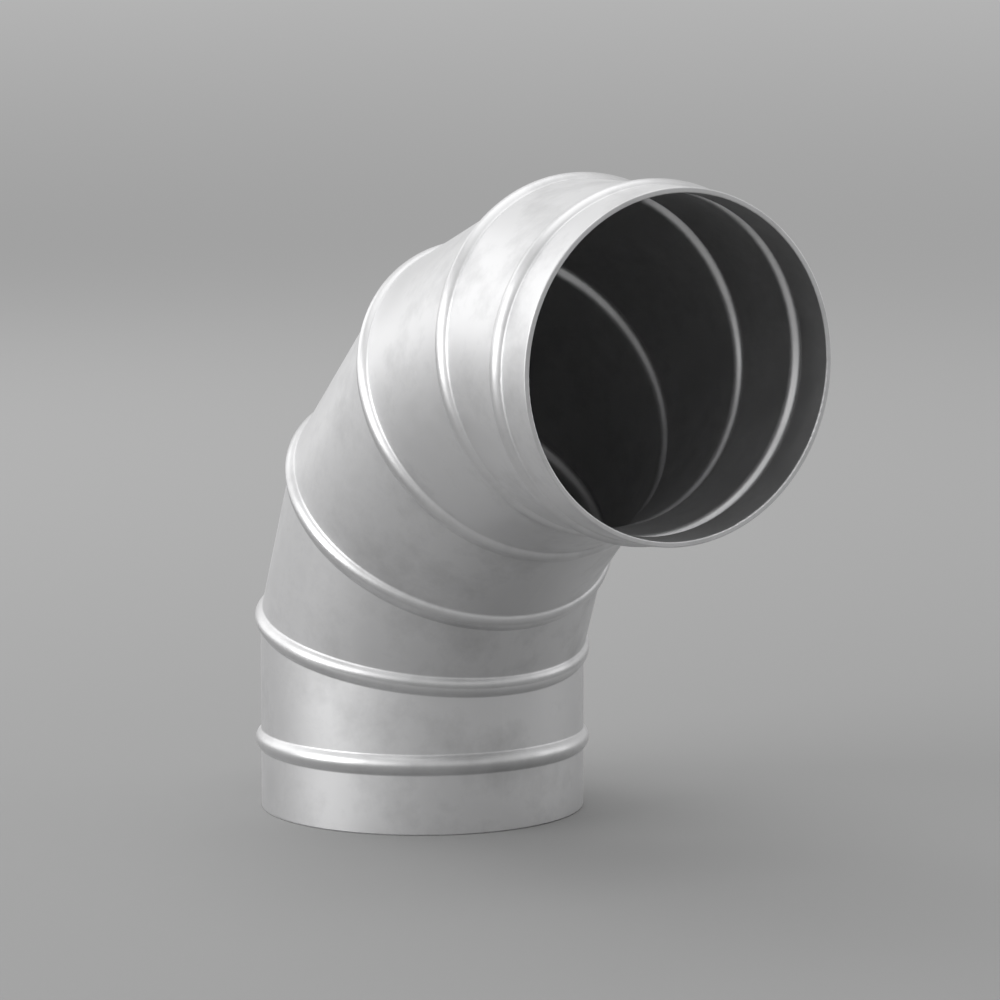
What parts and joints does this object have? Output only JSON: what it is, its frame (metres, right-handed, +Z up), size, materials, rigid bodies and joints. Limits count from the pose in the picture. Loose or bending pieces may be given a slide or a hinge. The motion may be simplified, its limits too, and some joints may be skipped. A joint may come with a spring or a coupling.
{
  "type": "vent pipe elbow",
  "caption": "Right-angle round vent pipe elbow in satin sheet steel, a chain of mitred gores joined by rolled beads, with a plain collar and stop bead at each open end.",
  "frame": {"origin": "centre of the base rim, on the axis of the base collar, in the plane that the elbow stands on", "axes": "+Z up along the axis of the base collar; +X the way the mouth opens, along the axis of the mouth collar; the bend lies in the XZ plane"},
  "size_m": [0.2017, 0.1034, 0.2003],
  "materials": {
    "sheet_steel": "satin, plain grey, faint rolling streaks"
  },
  "bodies": {
    "root": {"base_collar": "sheet_steel", "lower_gore": "sheet_steel", "middle_gore": "sheet_steel", "upper_gore": "sheet_steel", "mouth_collar": "sheet_steel"}
  },
  "joints": []
}
